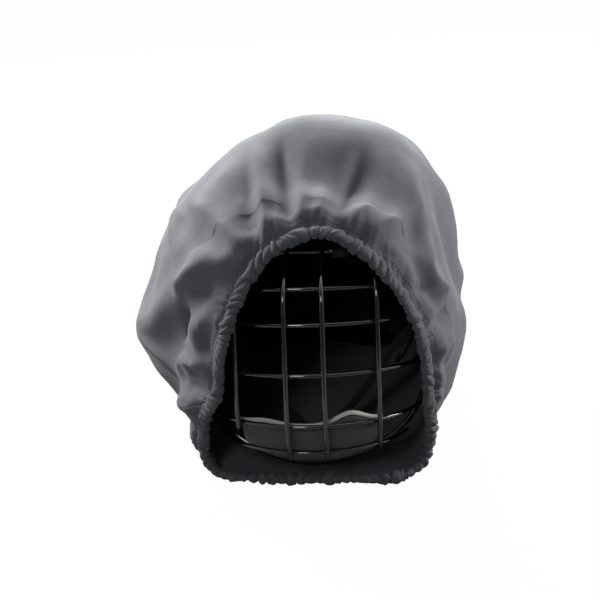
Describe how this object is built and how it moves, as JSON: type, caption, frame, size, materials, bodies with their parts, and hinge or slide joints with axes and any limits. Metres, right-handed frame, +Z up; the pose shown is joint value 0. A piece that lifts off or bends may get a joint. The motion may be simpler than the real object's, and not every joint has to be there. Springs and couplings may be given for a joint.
{
  "type": "caged hockey helmet in fabric cover",
  "caption": "Wire face cage hinged on a two-piece ice hockey helmet, resting in a loose gathered fabric cover with an elastic mouth.",
  "frame": {"origin": "on the flat underside of the cover's base, below the middle of the helmet", "axes": "+Z is up, the face looks along -Y, +X is to the right in the picture, on the wearer's left, and X = 0 is the helmet's mirror plane"},
  "size_m": [0.3028, 0.3554, 0.2531],
  "materials": {
    "cover_cloth": "charcoal twill weave, matt",
    "shell_plastic": "smooth black",
    "cage_enamel": "glossy black enamel on steel wire",
    "foam": "closed-cell foam, black",
    "pad_cloth": "brushed black knit over foam",
    "piping_cord": "off-white piping",
    "screw_steel": "zinc-plated steel",
    "clip_plastic": "satin black",
    "strap_webbing": "black woven webbing",
    "guard_plastic": "smoked plastic",
    "elastic_rubber": "black braided elastic"
  },
  "bodies": {
    "helmet": {"front_shell": "shell_plastic", "front_liner": "foam", "brow_pad": "pad_cloth", "crown_pad": "pad_cloth", "temple_pad_left": "pad_cloth", "temple_pad_right": "pad_cloth", "ear_guard_left": "guard_plastic", "ear_guard_right": "guard_plastic", "ear_guard_rivet_left": "screw_steel", "ear_guard_rivet_right": "screw_steel", "cage_clip_left": "clip_plastic", "cage_clip_right": "clip_plastic", "cage_clip_screw_left": "screw_steel", "cage_clip_screw_right": "screw_steel", "cage_strap_stud_left": "screw_steel", "cage_strap_stud_right": "screw_steel", "chin_strap": "strap_webbing", "chin_strap_anchor_left": "screw_steel", "chin_strap_anchor_right": "screw_steel"},
    "rear_shell": {"rear_shell": "shell_plastic", "rear_liner": "foam", "nape_pad": "pad_cloth", "adjuster_screw_left_upper": "screw_steel", "adjuster_screw_left_lower": "screw_steel", "adjuster_screw_right_upper": "screw_steel", "adjuster_screw_right_lower": "screw_steel", "tee_nut_left_upper": "screw_steel", "tee_nut_left_lower": "screw_steel", "tee_nut_right_upper": "screw_steel", "tee_nut_right_lower": "screw_steel"},
    "cage": {"cage_frame": "cage_enamel", "brow_bar": "cage_enamel", "eye_bar": "cage_enamel", "nose_bar": "cage_enamel", "mouth_bar": "cage_enamel", "jaw_bar": "cage_enamel", "post_left_outer": "cage_enamel", "post_left": "cage_enamel", "post_centre_left": "cage_enamel", "post_centre_right": "cage_enamel", "post_right": "cage_enamel", "post_right_outer": "cage_enamel", "chin_cup": "pad_cloth", "chin_cup_piping": "piping_cord"},
    "strap_left": {"cage_strap_left": "strap_webbing", "cage_strap_snap_left": "screw_steel"},
    "strap_right": {"cage_strap_right": "strap_webbing", "cage_strap_snap_right": "screw_steel"},
    "cover": {"cover_crown_panel": "cover_cloth", "cover_left_panel": "cover_cloth", "cover_base_panel": "cover_cloth", "cover_right_panel": "cover_cloth", "cover_rear_panel": "cover_cloth", "cover_mouth_collar": "cover_cloth", "cover_mouth_casing": "cover_cloth", "cover_elastic": "elastic_rubber"}
  },
  "joints": [
    {"name": "cage_swing", "type": "hinge", "parent": "helmet", "child": "cage", "pos_m": [0, -0.10268, 0.18318], "axis": [-1, 0, 0], "range_deg": [0, 85]},
    {"name": "strap_left_swing", "type": "hinge", "parent": "cage", "child": "strap_left", "pos_m": [-0.10097, -0.06247, 0.09363], "axis": [-0.1007, 0.2891, 0.952], "range_deg": [0, 15]},
    {"name": "strap_right_swing", "type": "hinge", "parent": "cage", "child": "strap_right", "pos_m": [0.10097, -0.06247, 0.09363], "axis": [-0.1007, -0.2891, -0.952], "range_deg": [0, 15]},
    {"name": "size_adjust", "type": "slide", "parent": "helmet", "child": "rear_shell", "axis": [0, -0.9613, 0.2756], "range_m": [0, 0.008]},
    {"name": "cover_off", "type": "slide", "parent": "helmet", "child": "cover", "axis": [0, 1, 0], "range_m": [0, 0.4], "deforming": ["cover_crown_panel", "cover_left_panel", "cover_base_panel", "cover_right_panel", "cover_rear_panel", "cover_mouth_collar", "cover_mouth_casing", "cover_elastic"]}
  ]
}
